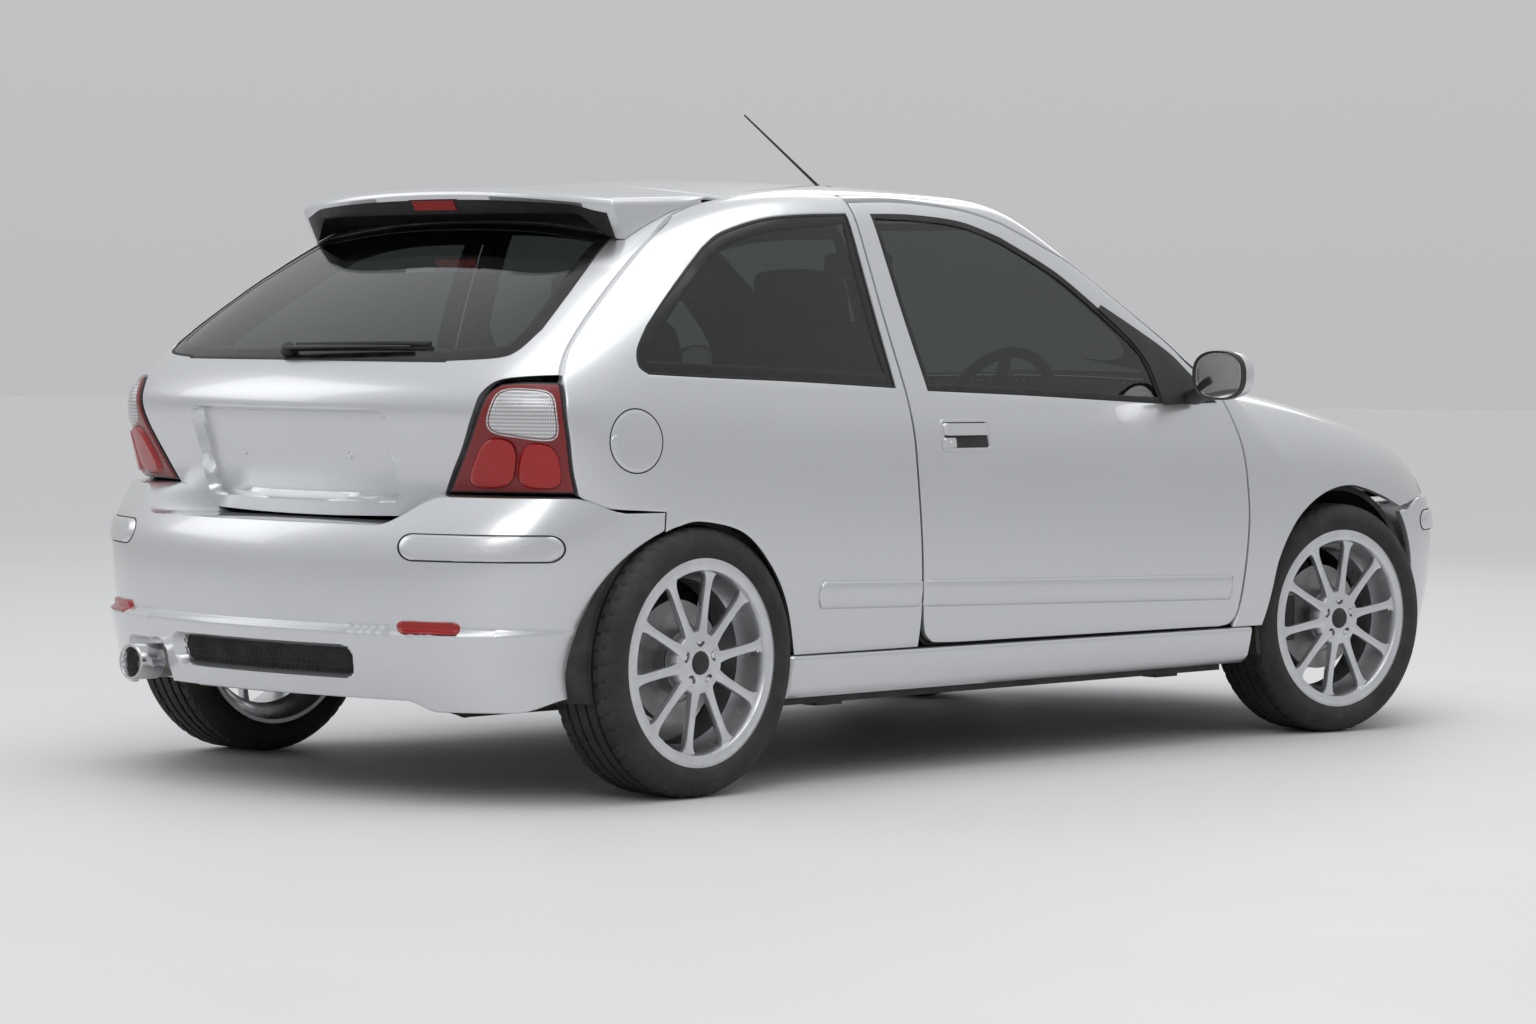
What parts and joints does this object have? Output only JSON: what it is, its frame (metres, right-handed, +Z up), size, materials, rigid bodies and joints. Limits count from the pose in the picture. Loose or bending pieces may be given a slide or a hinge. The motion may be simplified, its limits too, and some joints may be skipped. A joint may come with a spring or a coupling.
{
  "type": "hatchback car",
  "caption": "Small hatchback with a body kit and roof spoiler; its doors, bonnet and tailgate open, the wheels roll and the front wheels steer with the steering wheel.",
  "frame": {"origin": "On the ground under the middle of the car, at the bottom centre of its box.", "axes": "+X forward along the car, +Y to its left, +Z up."},
  "size_m": [3.9939, 2.0096, 1.6309],
  "materials": {
    "body_paint": "metallic silver paint",
    "black_trim": "grained black",
    "window_glass": "tinted",
    "clear_lens": "clear lens over bright bowls",
    "red_lens": "dark red lens",
    "exhaust_steel": "polished end",
    "engine_metal": "cast",
    "dark_steel": "satin underbody coat",
    "seat_cloth": "woven cloth",
    "cabin_plastic": "soft grain",
    "tyre_rubber": "matte",
    "wheel_alloy": "silver lacquer"
  },
  "bodies": {
    "body": {"roof_panel": "body_paint", "pillars": "body_paint", "quarter_panels": "body_paint", "floor_pan": "dark_steel", "wings": "body_paint", "cowl": "black_trim", "windscreen": "window_glass", "quarter_glass": "window_glass", "side_skirts": "body_paint", "front_bumper": "body_paint", "rear_bumper": "body_paint", "headlamps": "clear_lens", "grille": "black_trim", "rear_lamps": "red_lens", "aerial": "black_trim", "fuel_flap": "body_paint", "exhaust": "exhaust_steel", "engine_block": "engine_metal", "front_subframe": "dark_steel", "rear_axle": "dark_steel", "front_seats": "seat_cloth", "rear_bench": "seat_cloth", "dashboard": "cabin_plastic"},
    "steering_wheel": {"steering_wheel": "cabin_plastic"},
    "bonnet": {"bonnet": "body_paint"},
    "tailgate": {"tailgate": "body_paint", "rear_glass": "window_glass", "spoiler": "body_paint", "rear_wiper": "black_trim"},
    "door_left": {"door_left": "body_paint", "door_glass_left": "window_glass", "mirror_left": "body_paint"},
    "door_right": {"door_right": "body_paint", "door_glass_right": "window_glass", "mirror_right": "body_paint"},
    "knuckle_left": {"knuckle_left": "dark_steel"},
    "knuckle_right": {"knuckle_right": "dark_steel"},
    "wheel_front_left": {"tyre_front_left": "tyre_rubber", "rim_front_left": "wheel_alloy"},
    "wheel_front_right": {"tyre_front_right": "tyre_rubber", "rim_front_right": "wheel_alloy"},
    "wheel_rear_left": {"tyre_rear_left": "tyre_rubber", "rim_rear_left": "wheel_alloy"},
    "wheel_rear_right": {"tyre_rear_right": "tyre_rubber", "rim_rear_right": "wheel_alloy"}
  },
  "joints": [
    {"name": "steer_left", "type": "hinge", "parent": "body", "child": "knuckle_left", "pos_m": [1.197, 0.665, 0.308], "axis": [0, 0, 1], "range_deg": [-25.3, 44.7]},
    {"name": "steer_right", "type": "hinge", "parent": "body", "child": "knuckle_right", "pos_m": [1.197, -0.665, 0.308], "axis": [0, 0, 1], "range_deg": [-25.3, 44.7]},
    {"name": "steering_wheel_turn", "type": "hinge", "parent": "body", "child": "steering_wheel", "pos_m": [0.265, -0.365, 0.86], "axis": [-0.9063, 0, 0.4226], "range_deg": [-330, 582]},
    {"name": "spin_front_left", "type": "hinge", "parent": "knuckle_left", "child": "wheel_front_left", "pos_m": [1.20921, 0.73646, 0.308], "axis": [0.1685, 0.9857, 0], "continuous": true},
    {"name": "spin_front_right", "type": "hinge", "parent": "knuckle_right", "child": "wheel_front_right", "pos_m": [1.18478, -0.73646, 0.308], "axis": [0.1685, 0.9857, 0], "continuous": true},
    {"name": "spin_rear_left", "type": "hinge", "parent": "body", "child": "wheel_rear_left", "pos_m": [-1.31, 0.7375, 0.308], "axis": [0, 1, 0], "continuous": true},
    {"name": "spin_rear_right", "type": "hinge", "parent": "body", "child": "wheel_rear_right", "pos_m": [-1.31, -0.7375, 0.308], "axis": [0, 1, 0], "continuous": true},
    {"name": "door_left_swing", "type": "hinge", "parent": "body", "child": "door_left", "pos_m": [0.682, 0.819, 0.595], "axis": [0, 0, -1], "range_deg": [0, 68]},
    {"name": "door_right_swing", "type": "hinge", "parent": "body", "child": "door_right", "pos_m": [0.682, -0.819, 0.595], "axis": [0, 0, 1], "range_deg": [0, 68]},
    {"name": "bonnet_lift", "type": "hinge", "parent": "body", "child": "bonnet", "pos_m": [0.77, 0, 0.898], "axis": [0, -1, 0], "range_deg": [0, 50]},
    {"name": "tailgate_lift", "type": "hinge", "parent": "body", "child": "tailgate", "pos_m": [-0.958, 0, 1.402], "axis": [0, 1, 0], "range_deg": [0, 75]}
  ],
  "couplings": [
    {"joint": "steer_right", "follows": "steer_left", "ratio": 1},
    {"joint": "steering_wheel_turn", "follows": "steer_left", "ratio": 13}
  ]
}
